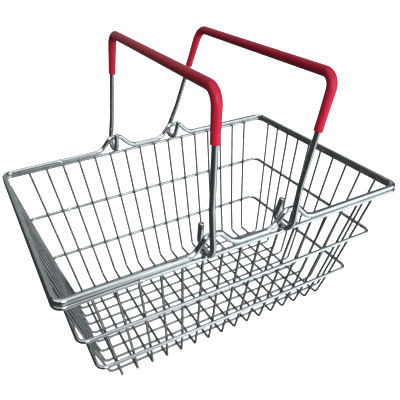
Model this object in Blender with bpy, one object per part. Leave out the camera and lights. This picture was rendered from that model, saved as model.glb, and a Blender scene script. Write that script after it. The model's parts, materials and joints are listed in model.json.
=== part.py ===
"""Wire hand basket: welded wire tub with a humped rim and two hooked carrying handles.

Metres, +Z up, X along the long side, Y across. The origin is on the ground under the middle of the tub.
Each wire is a tube swept along a line of straight runs joined by arcs.
"""

import math

import bmesh
import bpy
from mathutils import Vector

# ---- driving dimensions ----------------------------------------------------------------------------
RIM_LENGTH = 0.440          # between the centre lines of the rim's short sides
RIM_WIDTH = 0.310           # between the centre lines of its long sides
RIM_TO_FLOOR = 0.1875       # rim centre line down to the cross wires' centre line on the floor
GAP = 0.0003                # clearance left at every touch and weld

RIM_WIRE = 0.0070           # wire diameters
HOOP_WIRE = 0.0048
MESH_WIRE = 0.0032
ROD_WIRE = 0.0070
GRIP_OUTSIDE = 0.0114
GRIP_BORE = 0.0078

CORNER_RADIUS = 0.011       # rim and hoops, in plan
FLOOR_RADIUS = 0.006        # mesh wires, where a wall meets the floor

COLLAR_HOOP = {"drop": 0.0062, "inset": -0.0012}    # below and inside the rim's centre line
MIDDLE_HOOP = {"drop": 0.0745, "inset": 0.0155}
LOWER_HOOP = {"drop": 0.1415, "inset": 0.0325}
FLOOR_INSET = 0.0510        # where the straight wall meets the straight floor, inside the rim
WIRE_TOP_SET = {"drop": 0.016, "inset": 0.0055}     # the small outward set near the wires' tops

CROSS_WIRES = 16
LONG_WIRES = 10
CROSS_PITCH_TOP = 0.0249
CROSS_PITCH_FLOOR = 0.0206
LONG_PITCH_TOP = 0.0276
LONG_PITCH_FLOOR = 0.0190
FLOOR_SET = -0.0030         # both sets of wires are welded this far off centre on the floor

HUMP_X = 0.0505             # middle of each hump
HUMP_FOOT = 0.0255          # half width where it leaves the rim
HUMP_CROWN = 0.0080         # half width of its crown, before rounding
HUMP_HEIGHT = 0.0190
HUMP_FOOT_RADIUS = 0.020
HUMP_CROWN_RADIUS = 0.008

# For each handle: pivot place along the basket, lean from upright (towards +X), and the lengths of the
# front and back legs that the sleeve covers, from the bar's centre line.
HANDLES = {
    "left": {"x": -0.0575, "lean": math.radians(6.3), "grip_legs": (0.052, 0.057)},
    "right": {"x": 0.0410, "lean": math.radians(19.9), "grip_legs": (0.060, 0.058)},
}
PIVOT_ABOVE_RIM = 0.0012            # the hooks' centre line, above the rim's
HANDLE_SKEW = math.radians(1.2)     # both pivot lines sit this far off square in their loose hooks
BAR_HEIGHT = 0.1720         # pivot line to the top bar's centre line
BAR_HALF = 0.1525           # half width at the top bar
KNEE_HEIGHT, KNEE_HALF = 0.0495, 0.1619
FOOT_HALF = 0.1730          # half width of the legs, carried down to the pivot line
TAIL_HALF = 0.1415
TAIL_HEIGHT = 0.0280
BAR_RADIUS, KNEE_RADIUS, HOOK_RADIUS = 0.018, 0.040, 0.011

MESH_SIDES, HOOP_SIDES, RIM_SIDES, ROD_SIDES, GRIP_SIDES = 6, 8, 10, 10, 12

# ---- worked out from them --------------------------------------------------------------------------
FACET = math.cos(math.pi / MESH_SIDES)              # a mesh wire's flats, as a part of its radius
MESH_STACK = MESH_WIRE * FACET + GAP                # centre to centre where two mesh wires cross
LONG_FLOOR_Z = MESH_WIRE / 2 * FACET
CROSS_FLOOR_Z = LONG_FLOOR_Z + MESH_STACK
RIM_Z = CROSS_FLOOR_Z + RIM_TO_FLOOR
PIVOT_Z = RIM_Z + PIVOT_ABOVE_RIM
BEHIND_HOOP = (HOOP_WIRE + MESH_WIRE) / 2 + 1.5 * GAP
WIRE_TOP_INSET = COLLAR_HOOP["inset"] + BEHIND_HOOP
WIRE_TOP_DROP = RIM_WIRE / 2 + 4 * GAP


# ---- lines -----------------------------------------------------------------------------------------
def rounded(corners, radii, steps, closed=False):
    """The corner points joined by straight runs, with an arc of each radius in steps parts at each corner."""
    points = []
    last = len(corners) - 1
    for i, (corner, radius) in enumerate(zip(corners, radii)):
        if radius == 0 or (not closed and i in (0, last)):
            points.append(corner)
            continue
        back = (corners[i - 1] - corner).normalized()
        on = (corners[(i + 1) % len(corners)] - corner).normalized()
        half = back.angle(on) / 2
        bisector = (back + on).normalized()
        centre = corner + bisector * radius / math.sin(half)
        start = corner + back * radius / math.tan(half) - centre
        turn = math.pi - 2 * half
        axis = back.cross(on).normalized()
        across = start.cross(axis)
        for k in range(steps + 1):
            angle = turn * k / steps
            points.append(centre + start * math.cos(angle) + across * math.sin(angle))
    return points


def ring_line(length, width, z, steps=4, humps=False):
    """A rounded rectangle about the Z axis. Its long sides carry the humps if asked."""
    half_x, half_y = length / 2, width / 2
    corners, radii = [], []
    for side in (-1, 1):                            # front, left to right, then back, right to left
        y = side * half_y
        corners.append(Vector((side * half_x, y, z)))
        radii.append(CORNER_RADIUS)
        if humps:
            for middle in (side * HUMP_X, -side * HUMP_X):
                for reach, rise in ((-HUMP_FOOT, 0), (-HUMP_CROWN, HUMP_HEIGHT),
                                    (HUMP_CROWN, HUMP_HEIGHT), (HUMP_FOOT, 0)):
                    corners.append(Vector((middle - side * reach, y, z + rise)))
                    radii.append(HUMP_CROWN_RADIUS if rise else HUMP_FOOT_RADIUS)
        corners.append(Vector((-side * half_x, y, z)))
        radii.append(CORNER_RADIUS)
    return rounded(corners, radii, steps, closed=True)


def mesh_wire_line(floor_z, floor_half, top_half, floor_offset, top_offset, steps=3):
    """A U-shaped wire as (along, across, up) points: down one wall, over the floor, up the other.

    The halves are distances along the U. The offsets are the wire's sideways place on the floor and at
    its top end, where it is splayed outwards.
    """
    def offset_at(z):
        share = (z - floor_z) / (RIM_Z - floor_z)
        return floor_offset + (top_offset - floor_offset) * share

    wall = [(top_half - WIRE_TOP_INSET, RIM_Z - WIRE_TOP_DROP)]
    for place in (WIRE_TOP_SET, MIDDLE_HOOP, LOWER_HOOP):
        behind = 0 if place is WIRE_TOP_SET else BEHIND_HOOP
        wall.append((top_half - place["inset"] - behind, RIM_Z - place["drop"]))
    wall.append((floor_half, floor_z))
    radii = [0, 0, 0, 0, FLOOR_RADIUS]
    corners = [Vector((-along, offset_at(z), z)) for along, z in wall]
    corners += [Vector((along, offset_at(z), z)) for along, z in reversed(wall)]
    return rounded(corners, radii + radii[::-1], steps)


def handle_line():
    """The rod in its own upright plane, about the pivot line: tail, hook, leg, bar, leg, hook, tail."""
    side = [(TAIL_HALF, TAIL_HEIGHT, 0), (TAIL_HALF, 0, HOOK_RADIUS), (FOOT_HALF, 0, HOOK_RADIUS),
            (KNEE_HALF, KNEE_HEIGHT, KNEE_RADIUS), (BAR_HALF, BAR_HEIGHT, BAR_RADIUS)]
    corners = [Vector((0, -y, z)) for y, z, _ in side] + [Vector((0, y, z)) for y, z, _ in reversed(side)]
    radii = [radius for _, _, radius in side]
    return rounded(corners, radii + radii[::-1], steps=5)


def grip_line(front_leg, back_leg):
    """The stretch of the rod's line that the sleeve covers, down to those lengths of the two legs."""
    down = Vector((0, KNEE_HALF - BAR_HALF, KNEE_HEIGHT - BAR_HEIGHT)).normalized()
    corner = Vector((0, BAR_HALF, BAR_HEIGHT))
    back, front = corner + down * back_leg, corner + down * front_leg
    corners = [Vector((0, -front.y, front.z)), Vector((0, -corner.y, corner.z)), corner, back]
    return rounded(corners, [0, BAR_RADIUS, BAR_RADIUS, 0], steps=5)


# ---- solids ----------------------------------------------------------------------------------------
def add_rings(bm, line, radius, sides, reference, closed):
    """One ring of vertices square to the line at each of its points, the first one towards the reference."""
    rings = []
    count = len(line)
    for i, point in enumerate(line):
        before = line[i - 1] if closed or i > 0 else point
        after = line[(i + 1) % count] if closed or i < count - 1 else point
        into, out = (point - before).normalized(), (after - point).normalized()
        along = (into + out).normalized()
        first = (reference - along * reference.dot(along)).normalized()
        second = along.cross(first)
        ring = []
        for k in range(sides):
            angle = 2 * math.pi * k / sides
            ring.append(bm.verts.new(point + radius * (math.cos(angle) * first + math.sin(angle) * second)))
        rings.append(ring)
    return rings


def bridge(bm, ring, following):
    """The band of faces between two rings."""
    count = len(ring)
    for k in range(count):
        m = (k + 1) % count
        bm.faces.new((ring[k], ring[m], following[m], following[k]))


def make_object(name, bm, material):
    bmesh.ops.recalc_face_normals(bm, faces=bm.faces)
    mesh = bpy.data.meshes.new(name)
    bm.to_mesh(mesh)
    bm.free()
    mesh.shade_smooth()
    mesh.set_sharp_from_angle(angle=math.radians(50))
    mesh.materials.append(material)
    obj = bpy.data.objects.new(name, mesh)
    bpy.context.scene.collection.objects.link(obj)
    return obj


def wire(name, line, diameter, sides, reference, material, closed=False):
    """A solid wire along the line, joined end to end if closed, else with flat ends."""
    bm = bmesh.new()
    rings = add_rings(bm, line, diameter / 2, sides, reference, closed)
    for i in range(len(rings) - (0 if closed else 1)):
        bridge(bm, rings[i], rings[(i + 1) % len(rings)])
    if not closed:
        bm.faces.new(rings[0][::-1])
        bm.faces.new(rings[-1])
    return make_object(name, bm, material)


def sleeve(name, line, outside, bore, sides, reference, material):
    """An open tube along the line."""
    bm = bmesh.new()
    outer = add_rings(bm, line, outside / 2, sides, reference, closed=False)
    inner = add_rings(bm, line, bore / 2, sides, reference, closed=False)
    for rings in (outer, inner):
        for i in range(len(rings) - 1):
            bridge(bm, rings[i], rings[i + 1])
    for end in (0, -1):
        bridge(bm, outer[end], inner[end])
    return make_object(name, bm, material)


def material(name, colour, roughness, metallic):
    made = bpy.data.materials.new(name)
    made.use_nodes = True
    shader = made.node_tree.nodes["Principled BSDF"]
    shader.inputs["Base Color"].default_value = (*colour, 1)
    shader.inputs["Roughness"].default_value = roughness
    shader.inputs["Metallic"].default_value = metallic
    return made


# ---- the basket ------------------------------------------------------------------------------------
def make_tub():
    """Rim, hoops and mesh wires."""
    up, along, across = Vector((0, 0, 1)), Vector((1, 0, 0)), Vector((0, 1, 0))

    def plated(name):
        return material(name, (0.78, 0.79, 0.80), 0.18, 1.0)

    wire("rim", ring_line(RIM_LENGTH, RIM_WIDTH, RIM_Z, humps=True), RIM_WIRE, RIM_SIDES, up,
         plated("rim_plating"), closed=True)
    hoops = {"collar_hoop": COLLAR_HOOP, "middle_hoop": MIDDLE_HOOP, "lower_hoop": LOWER_HOOP}
    for name, place in hoops.items():
        inset = 2 * place["inset"]
        line = ring_line(RIM_LENGTH - inset, RIM_WIDTH - inset, RIM_Z - place["drop"])
        wire(name, line, HOOP_WIRE, HOOP_SIDES, up, plated(name + "_plating"), closed=True)

    for i in range(CROSS_WIRES):
        step = i - (CROSS_WIRES - 1) / 2
        line = mesh_wire_line(CROSS_FLOOR_Z, RIM_WIDTH / 2 - FLOOR_INSET, RIM_WIDTH / 2,
                              step * CROSS_PITCH_FLOOR + FLOOR_SET, step * CROSS_PITCH_TOP)
        line = [Vector((p.y, p.x, p.z)) for p in line]
        name = f"cross_wire_{i + 1:02d}"
        wire(name, line, MESH_WIRE, MESH_SIDES, along, plated(name + "_plating"))

    for i in range(LONG_WIRES):
        step = i - (LONG_WIRES - 1) / 2
        line = mesh_wire_line(LONG_FLOOR_Z, RIM_LENGTH / 2 - FLOOR_INSET, RIM_LENGTH / 2,
                              step * LONG_PITCH_FLOOR + FLOOR_SET, step * LONG_PITCH_TOP)
        name = f"long_wire_{i + 1:02d}"
        wire(name, line, MESH_WIRE, MESH_SIDES, across, plated(name + "_plating"))


def make_handle(side, place):
    """One rod and its sleeve, on an empty at the pivot line."""
    pivot = bpy.data.objects.new(side + "_handle_pivot", None)
    pivot.location = (place["x"], 0, PIVOT_Z)
    pivot.rotation_euler = (0, place["lean"], -HANDLE_SKEW)
    bpy.context.scene.collection.objects.link(pivot)
    across = Vector((1, 0, 0))
    rod = wire(side + "_handle_rod", handle_line(), ROD_WIRE, ROD_SIDES, across,
               material(side + "_rod_plating", (0.78, 0.79, 0.80), 0.18, 1.0))
    grip = sleeve(side + "_grip", grip_line(*place["grip_legs"]), GRIP_OUTSIDE, GRIP_BORE, GRIP_SIDES, across,
                  material(side + "_grip_plastic", (0.55, 0.01, 0.035), 0.35, 0.0))
    rod.parent = pivot
    grip.parent = pivot


def main():
    for obj in list(bpy.data.objects):
        bpy.data.objects.remove(obj)
    make_tub()
    for side, place in HANDLES.items():
        make_handle(side, place)


main()
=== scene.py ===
"""The looks of a wire hand basket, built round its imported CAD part.

Every CAD wire is stood for by a smooth, finely swept piece on the same centre line, with its weld spots,
cut ends, butt joints and soft sleeves. Metres, in the frame's own axes.
"""

import json
import math
import random

import bmesh
import bpy
import numpy as np
from mathutils import Matrix, Vector


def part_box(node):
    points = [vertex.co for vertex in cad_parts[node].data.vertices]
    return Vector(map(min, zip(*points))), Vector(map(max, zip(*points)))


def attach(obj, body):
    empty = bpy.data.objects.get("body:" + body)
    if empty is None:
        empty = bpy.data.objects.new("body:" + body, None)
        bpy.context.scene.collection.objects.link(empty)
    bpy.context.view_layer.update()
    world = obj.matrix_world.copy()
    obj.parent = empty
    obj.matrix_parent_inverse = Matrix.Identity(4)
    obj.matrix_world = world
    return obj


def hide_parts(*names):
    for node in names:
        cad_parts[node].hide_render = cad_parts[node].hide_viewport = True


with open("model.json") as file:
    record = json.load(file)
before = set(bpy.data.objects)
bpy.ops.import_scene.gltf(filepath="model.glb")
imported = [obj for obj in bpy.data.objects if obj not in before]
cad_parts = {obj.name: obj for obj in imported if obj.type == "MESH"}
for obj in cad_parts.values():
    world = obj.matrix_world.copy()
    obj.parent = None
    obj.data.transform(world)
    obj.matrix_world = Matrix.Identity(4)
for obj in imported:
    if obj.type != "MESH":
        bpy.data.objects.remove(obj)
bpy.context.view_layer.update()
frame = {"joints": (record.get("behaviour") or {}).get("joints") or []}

# ---- dimensions of the frame's wires -----------------------------------------------------------------
RIM_WIRE, HOOP_WIRE, MESH_WIRE, ROD_WIRE = 0.0070, 0.0048, 0.0032, 0.0070
GRIP_OUTSIDE, GRIP_BORE = 0.0114, 0.0078
GAP = 0.0003                # clearance at every touch in the frame
TEN_SIDED = math.sin(math.radians(72))      # half the level width of the frame's ten-sided rim, in radii
SIX_SIDED = math.cos(math.radians(30))      # half the height of its six-sided mesh wires, in radii

CORNER_RADIUS = 0.011       # rim and hoops, in plan
WIRE_RADII = [0, 0.012, 0.030, 0.030, 0.006]        # of a mesh wire's bends, from its top end to the floor
HUMP_X, HUMP_FOOT, HUMP_CROWN = 0.0505, 0.0255, 0.0080
HUMP_FOOT_RADIUS, HUMP_CROWN_RADIUS = 0.020, 0.008
WIRE_SET_DROP, WIRE_SET_INSET = 0.016, 0.0055       # the small outward set below the wires' tops
CROSS_PITCH_TOP, CROSS_PITCH_FLOOR = 0.0249, 0.0206
LONG_PITCH_TOP, LONG_PITCH_FLOOR = 0.0276, 0.0190
FLOOR_SET = -0.0030         # both sets of wires lie this far off centre on the floor
FLOOR_INSET = 0.0510        # where wall and floor meet, inside the rim
CROSS_WIRES, LONG_WIRES = 16, 10

# A handle's corners: height above the pivot line and half width
BAR_HEIGHT, BAR_HALF = 0.1720, 0.1525
KNEE_HEIGHT, KNEE_HALF = 0.0495, 0.1619
FOOT_HALF, TAIL_HALF, TAIL_HEIGHT = 0.1730, 0.1415, 0.0280
BAR_RADIUS, KNEE_RADIUS, HOOK_RADIUS = 0.018, 0.040, 0.011
HANDLES = {                 # lean from upright, and the front and back legs' length under the sleeve
    "left": {"lean": math.radians(6.3), "grip_legs": (0.052, 0.057)},
    "right": {"lean": math.radians(19.9), "grip_legs": (0.060, 0.058)},
}

# ---- places read from the frame ----------------------------------------------------------------------
rim_low, rim_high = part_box("rim")
RIM_Z = rim_low.z + RIM_WIRE / 2
RIM_HALF_X = rim_high.x - RIM_WIRE / 2 * TEN_SIDED
RIM_HALF_Y = rim_high.y - RIM_WIRE / 2 * TEN_SIDED
HUMP_HEIGHT = rim_high.z - RIM_WIRE / 2 - RIM_Z


def hoop_place(node):
    """How far a hoop's centre line lies below and inside the rim's."""
    low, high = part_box(node)
    return {"drop": RIM_Z - (low.z + high.z) / 2, "inset": RIM_HALF_X - (high.x - HOOP_WIRE / 2)}


HOOPS = {node: hoop_place(node) for node in ("collar_hoop", "middle_hoop", "lower_hoop")}
LONG_FLOOR_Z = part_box("long_wire_01")[0].z + MESH_WIRE / 2 * SIX_SIDED
CROSS_FLOOR_Z = LONG_FLOOR_Z + MESH_WIRE * SIX_SIDED + GAP
BEHIND_HOOP = (HOOP_WIRE + MESH_WIRE) / 2 + 1.5 * GAP
WIRE_TOP_INSET = HOOPS["collar_hoop"]["inset"] + BEHIND_HOOP
WIRE_TOP_DROP = RIM_WIRE / 2 + 4 * GAP

# ---- finer shape of the pieces -------------------------------------------------------------------------
RIM_SIDES, HOOP_SIDES, MESH_SIDES, ROD_SIDES, SLEEVE_SIDES = 28, 20, 14, 28, 32
RING_ARC, WIRE_ARC, HANDLE_ARC = 12, 8, 16                  # parts in each rounded corner
WIRE_STEP, ROD_STEP, SLEEVE_STEP = 0.004, 0.005, 0.0015     # longest step between two rings
SMOOTH_ANGLE = math.radians(40)
FIT_TOLERANCE = 0.0012      # how far a piece's box may lie off its node's

JOINT_X = -0.137            # where the ends of the rim and of each hoop meet
JOINT_REACH = 0.003         # a ring this near to it starts the joint
JOINT_NOTCH, NOTCH_SHARE = 0.0009, 0.62     # half width of the notch between the ends, and its radius share
JOINT_BEAD, BEAD_SHARE = 0.0055, 0.16       # length of the bead beside it, and what it adds to the radius
JOINT_STEP, JOINT_STEPS = 0.00035, 22       # the close rings that give the joint its shape
STEPS_TO_NOTCH = 3          # how many of them lie before the notch's middle

SHEAR_SHARE, SHEAR_DEPTH = 0.86, 0.0002     # bevel round a mesh wire's cut end
TAIL_DEPTH, TAIL_EASE = 0.0022, 0.55        # rounding of a handle rod's tail ends
TAIL_RINGS = (0.0004, 0.0010, 0.0018)       # extra rings, this far from each end
FLOOR_WELD = (0.0015, 0.0015, 0.0012)       # half sizes of a weld spot
WALL_WELD = (0.0016, 0.0016, 0.0013)
HOOP_HEAT, MESH_HEAT = 0.0055, 0.0045       # how far a weld dulls the plating round it
WELD_REACH = 0.006          # a weld within this of a wire's line is on that wire

LEG_SHARE, BAR_SHARE = 0.90, 1.03       # the sleeve's radius over the frame's, at its ends and on the bar
LEG_TAPER = 0.050           # how far down the legs it slims
CREASE_PITCH, CREASE_DEPTH = 0.0052, 0.035
LIP_DEPTH, LIP_EASE = 0.0012, 0.14          # rounding of the sleeve's ends
LIP_RINGS = (0.0002, 0.0005, 0.0009)        # extra rings, this far from each end
DARK_RINGS = 4              # the plastic darkens over this many rings

# ---- finishes ------------------------------------------------------------------------------------------
PLATINGS = {                # bright and dull colour, lowest and highest roughness
    "rim": ((0.80, 0.83, 0.84), (0.70, 0.73, 0.74), 0.03, 0.12),
    "hoop": ((0.78, 0.81, 0.82), (0.68, 0.71, 0.72), 0.04, 0.14),
    # the mesh wires have the rim's plating; their darker colours here are painted shade
    "mesh": ((0.50, 0.52, 0.53), (0.40, 0.42, 0.43), 0.06, 0.18),
    "rod": ((0.70, 0.73, 0.75), (0.60, 0.63, 0.65), 0.05, 0.15),
}
WELD_GREY, WELD_HEAT = (0.42, 0.42, 0.42), 0.6          # and how dull the weld spots themselves are
CUT_BRIGHT, CUT_DARK = (0.86, 0.86, 0.84), (0.60, 0.60, 0.59)
RED, DEEP_RED = (0.54, 0.026, 0.072), (0.49, 0.022, 0.062)
RUBBED_RED, LIP_RED = (0.56, 0.048, 0.092), (0.30, 0.004, 0.016)

UP, ALONG, ACROSS = Vector((0, 0, 1)), Vector((1, 0, 0)), Vector((0, 1, 0))


# ---- centre lines --------------------------------------------------------------------------------------
def rounded(corners, radii, steps, closed=False):
    """The corner points joined by straight runs, with an arc of its radius, in steps parts, at each."""
    points = []
    last = len(corners) - 1
    for i, (corner, radius) in enumerate(zip(corners, radii)):
        if radius == 0 or (not closed and i in (0, last)):
            points.append(corner)
            continue
        back = (corners[i - 1] - corner).normalized()
        on = (corners[(i + 1) % len(corners)] - corner).normalized()
        half = back.angle(on) / 2
        centre = corner + (back + on).normalized() * radius / math.sin(half)
        start = corner + back * radius / math.tan(half) - centre
        turn = math.pi - 2 * half
        across = start.cross(back.cross(on).normalized())
        for k in range(steps + 1):
            angle = turn * k / steps
            points.append(centre + start * math.cos(angle) + across * math.sin(angle))
    return points


def finer(line, step, closed=False):
    """The same line with a point at least every step."""
    points = []
    for i, point in enumerate(line):
        following = line[(i + 1) % len(line)]
        parts = max(1, math.ceil((following - point).length / step))
        if i == len(line) - 1 and not closed:
            parts = 1
        points += [point.lerp(following, k / parts) for k in range(parts)]
    return points


def ring_line(half_x, half_y, z, humps=False):
    """A rounded rectangle about the Z axis. Its long sides carry the humps if asked."""
    corners, radii = [], []
    for side in (-1, 1):                            # front, left to right, then back, right to left
        y = side * half_y
        corners.append(Vector((side * half_x, y, z)))
        radii.append(CORNER_RADIUS)
        if humps:
            for middle in (side * HUMP_X, -side * HUMP_X):
                for reach, rise in ((-HUMP_FOOT, 0), (-HUMP_CROWN, HUMP_HEIGHT),
                                    (HUMP_CROWN, HUMP_HEIGHT), (HUMP_FOOT, 0)):
                    corners.append(Vector((middle - side * reach, y, z + rise)))
                    radii.append(HUMP_CROWN_RADIUS if rise else HUMP_FOOT_RADIUS)
        corners.append(Vector((-side * half_x, y, z)))
        radii.append(CORNER_RADIUS)
    return rounded(corners, radii, RING_ARC, closed=True)


class MeshWire:
    """One U-shaped wire: its line, and where along, across and up it passes each height."""

    def __init__(self, floor_z, top_half, step, pitch_floor, pitch_top):
        self.floor_z, self.top_half = floor_z, top_half
        self.floor_offset = step * pitch_floor + FLOOR_SET
        self.top_offset = step * pitch_top

    def offset_at(self, z):
        share = (z - self.floor_z) / (RIM_Z - self.floor_z)
        return self.floor_offset + (self.top_offset - self.floor_offset) * share

    def line(self):
        wall = [(self.top_half - WIRE_TOP_INSET, RIM_Z - WIRE_TOP_DROP),
                (self.top_half - WIRE_SET_INSET, RIM_Z - WIRE_SET_DROP)]
        for node in ("middle_hoop", "lower_hoop"):
            wall.append((self.top_half - HOOPS[node]["inset"] - BEHIND_HOOP, RIM_Z - HOOPS[node]["drop"]))
        wall.append((self.top_half - FLOOR_INSET, self.floor_z))
        corners = [Vector((-along, self.offset_at(z), z)) for along, z in wall]
        corners += [Vector((along, self.offset_at(z), z)) for along, z in reversed(wall)]
        return rounded(corners, WIRE_RADII + WIRE_RADII[::-1], WIRE_ARC)


def swapped(points):
    """Points given as (along, across, up) of a cross wire, turned into the frame's axes."""
    return [Vector((p.y, p.x, p.z)) for p in points]


def steps_about_middle(count):
    return [i - (count - 1) / 2 for i in range(count)]


CROSS = [MeshWire(CROSS_FLOOR_Z, RIM_HALF_Y, s, CROSS_PITCH_FLOOR, CROSS_PITCH_TOP)
         for s in steps_about_middle(CROSS_WIRES)]
LONG = [MeshWire(LONG_FLOOR_Z, RIM_HALF_X, s, LONG_PITCH_FLOOR, LONG_PITCH_TOP)
        for s in steps_about_middle(LONG_WIRES)]


def handle_line():
    """The rod in its own upright plane, about the pivot line: tail, hook, leg, bar, leg, hook, tail."""
    side = [(TAIL_HALF, TAIL_HEIGHT, 0), (TAIL_HALF, 0, HOOK_RADIUS), (FOOT_HALF, 0, HOOK_RADIUS),
            (KNEE_HALF, KNEE_HEIGHT, KNEE_RADIUS), (BAR_HALF, BAR_HEIGHT, BAR_RADIUS)]
    corners = [Vector((0, -y, z)) for y, z, _ in side] + [Vector((0, y, z)) for y, z, _ in reversed(side)]
    radii = [radius for _, _, radius in side]
    return rounded(corners, radii + radii[::-1], HANDLE_ARC)


def grip_line(front_leg, back_leg):
    """The stretch of the rod's line under the sleeve."""
    down = Vector((0, KNEE_HALF - BAR_HALF, KNEE_HEIGHT - BAR_HEIGHT)).normalized()
    corner = Vector((0, BAR_HALF, BAR_HEIGHT))
    back, front = corner + down * back_leg, corner + down * front_leg
    corners = [Vector((0, -front.y, front.z)), Vector((0, -corner.y, corner.z)), corner, back]
    return rounded(corners, [0, BAR_RADIUS, BAR_RADIUS, 0], HANDLE_ARC)


# ---- swept meshes --------------------------------------------------------------------------------------
class Body:
    """Vertices and faces gathered for one piece, with each vertex's place on the wire laid out straight."""

    def __init__(self):
        self.verts, self.faces, self.slots, self.straight = [], [], [], []

    def ring(self, centre, along, reference, radii, distance):
        """Adds one ring square to along. radii holds one radius for each of its vertices."""
        first = (reference - along * reference.dot(along)).normalized()
        second = along.cross(first)
        start = len(self.verts)
        sides = len(radii)
        for k, radius in enumerate(radii):
            turn = 2 * math.pi * k / sides
            out = math.cos(turn) * first + math.sin(turn) * second
            self.verts.append(centre + radius * out)
            self.straight.append((math.cos(turn) * radius, math.sin(turn) * radius, distance))
        return list(range(start, start + sides))

    def band(self, ring, following):
        count = len(ring)
        for k in range(count):
            m = (k + 1) % count
            self.faces.append((ring[k], ring[m], following[m], following[k]))
            self.slots.append(0)

    def cap(self, ring, slot=0):
        self.faces.append(tuple(ring))
        self.slots.append(slot)

    def sweep(self, line, radius, sides, reference, closed=False, shape=None):
        """Rings along the line. shape(distance, total, turn) scales the radius, if given."""
        count = len(line)
        distances = [0.0]
        for before, after in zip(line, line[1:]):
            distances.append(distances[-1] + (after - before).length)
        total = distances[-1] + ((line[0] - line[-1]).length if closed else 0)
        rings = []
        for i, point in enumerate(line):
            before = line[i - 1] if closed or i > 0 else point
            after = line[(i + 1) % count] if closed or i < count - 1 else point
            along = ((point - before).normalized() + (after - point).normalized()).normalized()
            radii = [radius * (shape(distances[i], total, 2 * math.pi * k / sides) if shape else 1)
                     for k in range(sides)]
            rings.append(self.ring(point, along, reference, radii, distances[i]))
        for i in range(count - (0 if closed else 1)):
            self.band(rings[i], rings[(i + 1) % count])
        return rings

    def finish(self, name, materials, attribute, values):
        """The object, with a value of the named attribute for each vertex."""
        mesh = bpy.data.meshes.new(name)
        mesh.from_pydata(self.verts, [], self.faces)
        for material in materials:
            mesh.materials.append(material)
        mesh.polygons.foreach_set("material_index", self.slots)
        layer = mesh.attributes.new("straight", "FLOAT_VECTOR", "POINT")
        layer.data.foreach_set("vector", np.array(self.straight, np.float32).ravel())
        layer = mesh.attributes.new(attribute, "FLOAT", "POINT")
        layer.data.foreach_set("value", np.asarray(values, np.float32))
        whole = bmesh.new()
        whole.from_mesh(mesh)
        bmesh.ops.recalc_face_normals(whole, faces=whole.faces)
        whole.to_mesh(mesh)
        whole.free()
        mesh.update()
        mesh.shade_smooth()
        mesh.set_sharp_from_angle(angle=SMOOTH_ANGLE)
        obj = bpy.data.objects.new(name, mesh)
        bpy.context.scene.collection.objects.link(obj)
        return obj


def end_ease(distance, total, depth, share):
    """Radius share that eases down over the last depth of both ends, as a worn or tumbled edge."""
    reach = min(distance, total - distance)
    if reach >= depth:
        return 1.0
    left = 1 - reach / depth
    return 1 - share + share * math.sqrt(max(0.0, 1 - left * left))


# ---- materials -----------------------------------------------------------------------------------------
class Shader:
    """A Principled material and short calls for the nodes that feed it."""

    def __init__(self, name):
        self.material = bpy.data.materials.new(name)
        self.material.use_nodes = True
        self.tree = self.material.node_tree
        self.principled = self.tree.nodes["Principled BSDF"]

    def node(self, kind, **values):
        made = self.tree.nodes.new("ShaderNode" + kind)
        for key, value in values.items():
            setattr(made, key, value)
        return made

    def link(self, output, socket):
        self.tree.links.new(output, socket)

    def set(self, socket, value):
        self.principled.inputs[socket].default_value = value

    def feed(self, output, socket):
        self.link(output, self.principled.inputs[socket])

    def attribute(self, name):
        return self.node("Attribute", attribute_name=name)

    def scaled(self, vector, scale):
        mapping = self.node("Mapping")
        mapping.inputs["Scale"].default_value = scale
        self.link(vector, mapping.inputs["Vector"])
        return mapping.outputs["Vector"]

    def noise(self, vector, scale, detail=4.0, roughness=0.55, distortion=0.0):
        noise = self.node("TexNoise")
        noise.inputs["Scale"].default_value = scale
        noise.inputs["Detail"].default_value = detail
        noise.inputs["Roughness"].default_value = roughness
        noise.inputs["Distortion"].default_value = distortion
        self.link(vector, noise.inputs["Vector"])
        return noise.outputs["Fac"]

    def ranged(self, value, low, high, to_low, to_high):
        node = self.node("MapRange", clamp=True)
        for key, number in (("From Min", low), ("From Max", high), ("To Min", to_low), ("To Max", to_high)):
            node.inputs[key].default_value = number
        self.link(value, node.inputs["Value"])
        return node.outputs["Result"]

    def maths(self, operation, a, b):
        node = self.node("Math", operation=operation)
        for socket, value in zip(node.inputs, (a, b)):
            if isinstance(value, (int, float)):
                socket.default_value = value
            else:
                self.link(value, socket)
        return node.outputs["Value"]

    def mixed(self, factor, a, b):
        node = self.node("Mix", data_type="RGBA")
        self.link(factor, node.inputs[0])
        for socket, value in ((node.inputs[6], a), (node.inputs[7], b)):
            if isinstance(value, tuple):
                socket.default_value = (*value, 1)
            else:
                self.link(value, socket)
        return node.outputs[2]

    def bump(self, height, strength, distance, under=None):
        node = self.node("Bump")
        node.inputs["Strength"].default_value = strength
        node.inputs["Distance"].default_value = distance
        self.link(height, node.inputs["Height"])
        if under is not None:
            self.link(under, node.inputs["Normal"])
        return node.outputs["Normal"]


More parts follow.
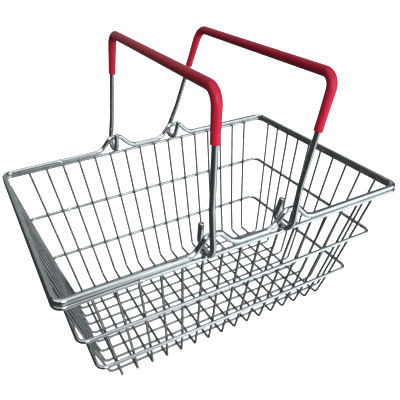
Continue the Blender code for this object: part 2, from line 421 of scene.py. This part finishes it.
def plating(name, bright, dull, rough_low, rough_high, streak=0.25):
    """Bright plated steel wire: lengthwise drawing marks, cloudy plating, duller round each weld."""
    s = Shader(name)
    straight = s.attribute("straight").outputs["Vector"]
    place = s.node("TexCoord").outputs["Object"]
    weld = s.attribute("weld").outputs["Fac"]
    drawn = s.noise(s.scaled(straight, (1100, 1100, 14)), 1.0, detail=5.0, roughness=0.65)
    clouds = s.noise(place, 38.0, detail=3.0, distortion=0.4)
    grain = s.noise(place, 1500.0, detail=2.0)
    patches = s.ranged(clouds, 0.38, 0.66, 0.0, 1.0)
    colour = s.mixed(patches, bright, dull)
    heat = s.ranged(s.maths("MULTIPLY", weld, s.ranged(clouds, 0.2, 0.7, 0.5, 1.0)), 0.0, 1.0, 0.0, 0.75)
    s.feed(s.mixed(heat, colour, WELD_GREY), "Base Color")
    base_rough = s.ranged(s.maths("ADD", s.maths("MULTIPLY", drawn, streak), clouds), 0.35, 0.95,
                          rough_low, rough_high)
    s.feed(s.maths("ADD", base_rough, s.maths("MULTIPLY", heat, 0.16)), "Roughness")
    s.set("Metallic", 1.0)
    fine = s.bump(grain, 0.06, 0.00004)
    s.feed(s.bump(drawn, 0.12, 0.00009, under=fine), "Normal")
    return s.material


def cut_steel():
    """The bare, sheared face of a wire's end."""
    s = Shader("cut_steel")
    place = s.node("TexCoord").outputs["Object"]
    sheared = s.noise(s.scaled(place, (900, 2600, 900)), 1.0, detail=3.0)
    s.feed(s.mixed(sheared, CUT_BRIGHT, CUT_DARK), "Base Color")
    s.feed(s.ranged(sheared, 0.3, 0.7, 0.28, 0.48), "Roughness")
    s.set("Metallic", 1.0)
    s.feed(s.bump(sheared, 0.4, 0.0001), "Normal")
    return s.material


def sleeve_plastic(name):
    """Soft red plastic over the rod: satin, faintly rippled, paler where rubbed and darker at its lips."""
    s = Shader(name)
    straight = s.attribute("straight").outputs["Vector"]
    place = s.node("TexCoord").outputs["Object"]
    clouds = s.noise(place, 24.0, detail=3.0, distortion=0.3)
    skin = s.noise(place, 900.0, detail=3.0)
    flow = s.noise(s.scaled(straight, (420, 420, 26)), 1.0, detail=3.0)
    colour = s.mixed(s.ranged(clouds, 0.35, 0.68, 0.0, 1.0), RED, DEEP_RED)
    rubbed = s.mixed(s.ranged(flow, 0.60, 0.85, 0.0, 0.35), colour, RUBBED_RED)
    lip = s.attribute("lip").outputs["Fac"]
    s.feed(s.mixed(s.ranged(lip, 0.0, 1.0, 0.0, 0.55), rubbed, LIP_RED), "Base Color")
    s.feed(s.ranged(s.maths("ADD", s.maths("MULTIPLY", flow, 0.5), s.maths("MULTIPLY", clouds, 0.5)),
                    0.35, 0.65, 0.16, 0.30), "Roughness")
    s.set("Subsurface Weight", 0.06)
    s.set("Subsurface Radius", (0.004, 0.0006, 0.0006))
    s.set("Subsurface Scale", 0.5)
    soft = s.bump(flow, 0.18, 0.0002)
    s.feed(s.bump(skin, 0.10, 0.00006, under=soft), "Normal")
    return s.material


# ---- pieces of the tub -----------------------------------------------------------------------------------
def weld_nearness(points, welds, reach):
    """For each point, 1 at a weld and falling to 0 at the reach from it."""
    points = np.array([tuple(p) for p in points])
    nearest = np.full(len(points), np.inf)
    for weld in welds:
        nearest = np.minimum(nearest, np.linalg.norm(points - np.array(tuple(weld)), axis=1))
    return np.clip(1 - nearest / reach, 0, 1)


def dress(obj, body, node):
    """obj rides on the body and stands for the CAD node."""
    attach(obj, body)
    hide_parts(node)
    low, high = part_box(node)
    own = [obj.matrix_world @ Vector(corner) for corner in obj.bound_box]
    for k in range(3):
        gap = max(abs(min(p[k] for p in own) - low[k]), abs(max(p[k] for p in own) - high[k]))
        if gap > FIT_TOLERANCE:
            raise ValueError(f"{obj.name} is {gap * 1000:.2f} mm off its node along axis {k}")


def joint_shape(length_to_joint):
    """Radius share along the rim or a hoop: a notch where its ends meet and a low bead beside it."""
    def shape(distance, total, turn):
        away = distance - length_to_joint
        if abs(away) < JOINT_NOTCH:
            return NOTCH_SHARE
        if JOINT_NOTCH <= away < JOINT_BEAD:
            return 1 + BEAD_SHARE * math.sin(math.pi * (away - JOINT_NOTCH) / (JOINT_BEAD - JOINT_NOTCH))
        return 1.0
    return shape


def closed_ring(name, node, line, radius, sides, material, joint_side, welds):
    """The rim or a hoop: a closed rod whose ends meet at the joint on the front or back run."""
    line = finer(line, WIRE_STEP, closed=True)
    start = next(i for i, p in enumerate(line)
                 if p.y * joint_side > 0 and abs(p.x - JOINT_X) < JOINT_REACH)
    step = (line[(start + 1) % len(line)] - line[start]).normalized() * JOINT_STEP
    while (line[(start + 1) % len(line)] - line[start]).length < JOINT_STEPS * JOINT_STEP:
        del line[start + 1]
    line[start + 1:start + 1] = [line[start] + step * k for k in range(1, JOINT_STEPS)]
    before = sum((b - a).length for a, b in zip(line[:start], line[1:start + 1]))
    body = Body()
    notched = joint_shape(before + STEPS_TO_NOTCH * JOINT_STEP)
    body.sweep(line, radius, sides, UP, closed=True, shape=notched)
    obj = body.finish(name, [material], "weld", weld_nearness(body.verts, welds, HOOP_HEAT))
    dress(obj, "basket", node)


def mesh_wire(name, node, line, reference, material, cut, welds):
    """One U-shaped wire with sheared ends."""
    line = finer(line, WIRE_STEP)
    body = Body()
    rings = body.sweep(line, MESH_WIRE / 2, MESH_SIDES, reference)
    for ring, outward in ((rings[0], line[0] - line[1]), (rings[-1], line[-1] - line[-2])):
        middle = sum((body.verts[i] for i in ring), Vector()) / len(ring)
        first = len(body.verts)
        for i in ring:                          # a sheared edge: a narrow bevel, then the flat face
            body.verts.append(middle + (body.verts[i] - middle) * SHEAR_SHARE
                              + outward.normalized() * SHEAR_DEPTH)
            body.straight.append(body.straight[i])
        lip = list(range(first, first + len(ring)))
        body.band(ring, lip)
        body.cap(lip, slot=1)
    obj = body.finish(name, [material, cut], "weld", weld_nearness(body.verts, welds, MESH_HEAT))
    dress(obj, "basket", node)


def nugget(body, place, sizes, axes, rng):
    """A low, uneven blob of weld metal: a ball with the given half sizes along the three axes."""
    rings, sides = 5, 10
    start = len(body.verts)
    last = start + 1 + (rings - 1) * sides
    stretch = [rng.uniform(0.88, 1.12) for _ in range(3)]
    for i in range(rings + 1):
        polar = math.pi * i / rings
        count = 1 if i in (0, rings) else sides
        for k in range(count):
            turn = 2 * math.pi * k / sides
            local = (math.sin(polar) * math.cos(turn), math.sin(polar) * math.sin(turn), math.cos(polar))
            uneven = 1 + rng.uniform(-0.06, 0.06)
            point = sum((axis * (value * size * part * uneven)
                         for axis, value, size, part in zip(axes, local, sizes, stretch)), Vector(place))
            body.verts.append(point)
            body.straight.append(tuple(point))
    for i in range(rings):
        for k in range(sides):
            m = (k + 1) % sides
            if i == 0:
                face = (start, start + 1 + k, start + 1 + m)
            elif i == rings - 1:
                face = (last - sides + m, last - sides + k, last)
            else:
                ring = start + 1 + (i - 1) * sides
                face = (ring + k, ring + sides + k, ring + sides + m, ring + m)
            body.faces.append(face)
            body.slots.append(0)


def floor_welds():
    """Where each cross wire lies on each lengthwise wire."""
    z = (LONG_FLOOR_Z + CROSS_FLOOR_Z) / 2
    return [Vector((c.floor_offset, w.floor_offset, z)) for c in CROSS for w in LONG]


def wall_welds(node):
    """(place, outward direction) where each mesh wire touches a hoop."""
    place = HOOPS[node]
    z = RIM_Z - place["drop"]
    contact = place["inset"] + HOOP_WIRE / 2 + GAP / 2
    found = []
    for side in (-1, 1):
        for w in CROSS:
            found.append((Vector((w.offset_at(z), side * (w.top_half - contact), z)), ACROSS))
        for w in LONG:
            found.append((Vector((side * (w.top_half - contact), w.offset_at(z), z)), ALONG))
    return found


def weld_piece(name, welds, sizes, material, seed):
    """One piece holding all the weld nuggets of one level."""
    rng = random.Random(seed)
    body = Body()
    for place, outward in welds:
        beside = ALONG if outward is UP else UP.cross(outward)
        nugget(body, place, sizes, (beside, outward.cross(beside), outward), rng)
    obj = body.finish(name, [material], "weld", [WELD_HEAT] * len(body.verts))
    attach(obj, "basket")


def make_tub():
    rim_plate = plating("rim_plating", *PLATINGS["rim"])
    hoop_plate = plating("hoop_plating", *PLATINGS["hoop"])
    # the mesh wires and weld spots take the darker mesh colours: painted shade on the same plating
    mesh_painted_shade_plate = plating("mesh_plating", *PLATINGS["mesh"])
    cut = cut_steel()
    on_floor = floor_welds()
    on_wall = {node: wall_welds(node) for node in HOOPS}

    closed_ring("rim_rod", "rim", ring_line(RIM_HALF_X, RIM_HALF_Y, RIM_Z, humps=True), RIM_WIRE / 2,
                RIM_SIDES, rim_plate, 1, [])
    for node, place in HOOPS.items():
        line = ring_line(RIM_HALF_X - place["inset"], RIM_HALF_Y - place["inset"], RIM_Z - place["drop"])
        joint_side = -1 if node == "collar_hoop" else 1     # on its front run, or on its back run
        closed_ring(node + "_rod", node, line, HOOP_WIRE / 2, HOOP_SIDES, hoop_plate,
                    joint_side, [place for place, _ in on_wall[node]])

    every_weld = on_floor + [place for welds in on_wall.values() for place, _ in welds]
    for i, w in enumerate(CROSS):
        node = f"cross_wire_{i + 1:02d}"
        near = [p for p in every_weld if abs(p.x - w.offset_at(p.z)) < WELD_REACH]
        mesh_wire(node + "_rod", node, swapped(w.line()), ALONG, mesh_painted_shade_plate, cut, near)
    for i, w in enumerate(LONG):
        node = f"long_wire_{i + 1:02d}"
        near = [p for p in every_weld if abs(p.y - w.offset_at(p.z)) < WELD_REACH]
        mesh_wire(node + "_rod", node, w.line(), ACROSS, mesh_painted_shade_plate, cut, near)

    weld_piece("floor_weld_spots", [(p, UP) for p in on_floor], FLOOR_WELD, mesh_painted_shade_plate, 1)
    for seed, (node, welds) in enumerate(on_wall.items(), start=2):
        weld_piece(node + "_weld_spots", welds, WALL_WELD, mesh_painted_shade_plate, seed)


# ---- handles ---------------------------------------------------------------------------------------------
def handle_frame(side):
    """The matrix that stands a handle's upright plane at its pivot, skewed and leaning as in the frame."""
    joint = next(j for j in frame["joints"] if j["child"] == side + "_handle")
    across = Vector(joint["axis"]).normalized()
    skew = math.atan2(across.x, across.y)
    turn = Matrix.Rotation(-skew, 4, "Z") @ Matrix.Rotation(HANDLES[side]["lean"], 4, "Y")
    return Matrix.Translation(Vector(joint["pos_m"])) @ turn


def sleeve_shape(side):
    """The sleeve's radius share: slimmer down the legs, rolled lips, and ripples inside its two bends."""
    front_leg, back_leg = HANDLES[side]["grip_legs"]

    def shape(distance, total, turn):
        from_bend = min(distance - front_leg, total - back_leg - distance)
        fuller = min(1.0, max(0.0, (from_bend + LEG_TAPER) / LEG_TAPER))
        share = LEG_SHARE + (BAR_SHARE - LEG_SHARE) * fuller * fuller * (3 - 2 * fuller)
        within = max(0.0, 1 - abs(from_bend) / BAR_RADIUS)
        ripple = math.cos(2 * math.pi * from_bend / CREASE_PITCH) * within * max(0.0, math.sin(turn)) ** 2
        return share * (1 - CREASE_DEPTH * ripple) * end_ease(distance, total, LIP_DEPTH, LIP_EASE)

    return shape


def with_ends(line, steps):
    """The line with a few more points close to both its ends, at the given distances."""
    first = (line[0] - line[1]).normalized()
    last = (line[-1] - line[-2]).normalized()
    opening = [line[0] - first * step for step in steps]
    closing = [line[-1] - last * step for step in reversed(steps)]
    return [line[0]] + opening + line[1:-1] + closing + [line[-1]]


def make_handle(side):
    place = handle_frame(side)
    across = place.to_3x3() @ ALONG
    plate = plating(side + "_rod_plating", *PLATINGS["rod"], streak=0.5)
    line = with_ends([place @ p for p in finer(handle_line(), ROD_STEP)], TAIL_RINGS)
    body = Body()
    rings = body.sweep(line, ROD_WIRE / 2, ROD_SIDES, across,
                       shape=lambda distance, total, turn: end_ease(distance, total, TAIL_DEPTH, TAIL_EASE))
    body.cap(rings[0])
    body.cap(rings[-1])
    rod = body.finish(side + "_handle_rod_bar", [plate], "weld", [0.0] * len(body.verts))
    dress(rod, side + "_handle", side + "_handle_rod")

    line = [place @ p for p in finer(grip_line(*HANDLES[side]["grip_legs"]), SLEEVE_STEP)]
    line = with_ends(line, LIP_RINGS)
    sleeve = Body()
    outer = sleeve.sweep(line, GRIP_OUTSIDE / 2, SLEEVE_SIDES, across, shape=sleeve_shape(side))
    inner = sleeve.sweep(line, GRIP_BORE / 2, SLEEVE_SIDES, across)
    sleeve.band(outer[0], inner[0])
    sleeve.band(outer[-1], inner[-1])
    nearness = [max(0.0, 1 - min(i, len(line) - 1 - i) / DARK_RINGS) for i in range(len(line))]
    lip = [value for value in nearness for _ in range(SLEEVE_SIDES)] * 2
    grip = sleeve.finish(side + "_grip_sleeve", [sleeve_plastic(side + "_grip_plastic")], "lip", lip)
    dress(grip, side + "_handle", side + "_grip")


# ---- floor, light and camera -----------------------------------------------------------------------------
def make_floor():
    """White paper under the basket: as bright as the paper behind it, and seen by the camera alone."""
    mesh = bpy.data.meshes.new("floor")
    half = 6.0
    corners = [(-half, -half, 0), (half, -half, 0), (half, half, 0), (-half, half, 0)]
    mesh.from_pydata(corners, [], [(0, 1, 2, 3)])
    floor = bpy.data.objects.new("floor", mesh)
    bpy.context.scene.collection.objects.link(floor)
    s = Shader("floor_paper")
    s.set("Base Color", (0.9, 0.9, 0.9, 1))
    s.set("Roughness", 0.9)
    s.set("Specular IOR Level", 0.0)
    s.set("Emission Color", (1, 1, 1, 1))
    s.set("Emission Strength", 0.93)
    mesh.materials.append(s.material)
    floor.location.z = -0.0005
    floor.visible_glossy = False
    floor.visible_diffuse = False


# Soft boxes and dim surfaces round the object: direction, cosines where each fades in and is full, strength.
STUDIO = {
    "window_right": ((0.66, -0.67, 0.34), 0.82, 0.88, 0.92),
    "front_right": ((0.56, -0.76, -0.33), 0.86, 0.97, 0.62),
    "front_high": ((0.10, -0.75, 0.65), 0.88, 0.96, 0.40),
    "table_front": ((0.43, -0.68, -0.60), 0.48, 0.84, 0.33),
    "table_under": ((0.36, -0.24, -0.90), 0.62, 0.92, 0.28),
    "ceiling": ((-0.19, -0.08, 0.97), 0.71, 0.84, 0.86),
    "lamp": ((-0.22, -0.82, 0.53), 0.962, 0.984, 4.5),
    "back": ((0.32, 0.92, 0.22), 0.66, 0.84, 0.32),
}
SURROUND = 0.085            # strength of the dark room between them
VIEW_GAMMA = 0.78           # under 1 darkens all but white, for a contrasty finish


def make_light():
    """A dark room with soft boxes round the object. The camera sees plain white paper behind it."""
    world = bpy.data.worlds.new("studio")
    world.use_nodes = True
    bpy.context.scene.world = world
    nodes, links = world.node_tree.nodes, world.node_tree.links
    nodes.clear()
    direction = nodes.new("ShaderNodeTexCoord").outputs["Generated"]
    total = None
    for place, fades_in, full, strength in STUDIO.values():
        dot = nodes.new("ShaderNodeVectorMath")
        dot.operation = "DOT_PRODUCT"
        dot.inputs[1].default_value = Vector(place).normalized()
        links.new(direction, dot.inputs[0])
        edge = nodes.new("ShaderNodeMapRange")
        edge.interpolation_type = "SMOOTHSTEP"
        for key, value in (("From Min", fades_in), ("From Max", full), ("To Min", 0), ("To Max", strength)):
            edge.inputs[key].default_value = value
        links.new(dot.outputs["Value"], edge.inputs["Value"])
        add = nodes.new("ShaderNodeMath")
        add.operation = "ADD"
        links.new(edge.outputs["Result"], add.inputs[0])
        if total is None:
            add.inputs[1].default_value = SURROUND
        else:
            links.new(total, add.inputs[1])
        total = add.outputs["Value"]
    room = nodes.new("ShaderNodeBackground")
    room.inputs["Color"].default_value = (0.95, 0.99, 1.0, 1)
    links.new(total, room.inputs["Strength"])
    paper = nodes.new("ShaderNodeBackground")
    paper.inputs["Color"].default_value = (1, 1, 1, 1)
    mix = nodes.new("ShaderNodeMixShader")
    path = nodes.new("ShaderNodeLightPath")
    links.new(path.outputs["Is Camera Ray"], mix.inputs["Fac"])
    links.new(room.outputs[0], mix.inputs[1])
    links.new(paper.outputs[0], mix.inputs[2])
    output = nodes.new("ShaderNodeOutputWorld")
    links.new(mix.outputs[0], output.inputs["Surface"])


def make_fill():
    """A broad lamp in front, low down, for the plastic: the plated wires don't mirror it."""
    data = bpy.data.lights.new("fill", "AREA")
    data.shape = "RECTANGLE"
    data.size, data.size_y = 2.2, 1.0
    data.energy = 38
    light = bpy.data.objects.new("fill", data)
    light.location = (0.15, -2.2, 0.62)
    light.rotation_euler = (Vector((0, 0, 0.25)) - light.location).to_track_quat("-Z", "Y").to_euler()
    light.visible_camera = False
    light.visible_glossy = False
    bpy.context.scene.collection.objects.link(light)


def make_camera():
    """The viewing angle: in front of the basket, to its left and above, with a slight roll."""
    azimuth, elevation, roll = math.radians(-27.02), math.radians(30.25), math.radians(-2.266)
    target = Vector((-0.0140, -0.0554, RIM_Z))
    distance = 0.592
    back = Vector((math.sin(azimuth) * math.cos(elevation), -math.cos(azimuth) * math.cos(elevation),
                   math.sin(elevation)))
    right = UP.cross(back).normalized()
    up = back.cross(right)
    right, up = right * math.cos(roll) + up * math.sin(roll), up * math.cos(roll) - right * math.sin(roll)
    data = bpy.data.cameras.new("camera")
    data.lens, data.sensor_width = 42.34, 36
    data.clip_start = 0.01
    camera = bpy.data.objects.new("camera", data)
    turn = Matrix((right, up, back)).transposed()
    camera.matrix_world = Matrix.Translation(target + back * distance) @ turn.to_4x4()
    bpy.context.scene.collection.objects.link(camera)
    bpy.context.scene.camera = camera


make_tub()
for side in HANDLES:
    make_handle(side)
make_floor()
make_light()
make_fill()
make_camera()
bpy.context.scene.view_settings.view_transform = "Standard"
bpy.context.scene.view_settings.gamma = VIEW_GAMMA
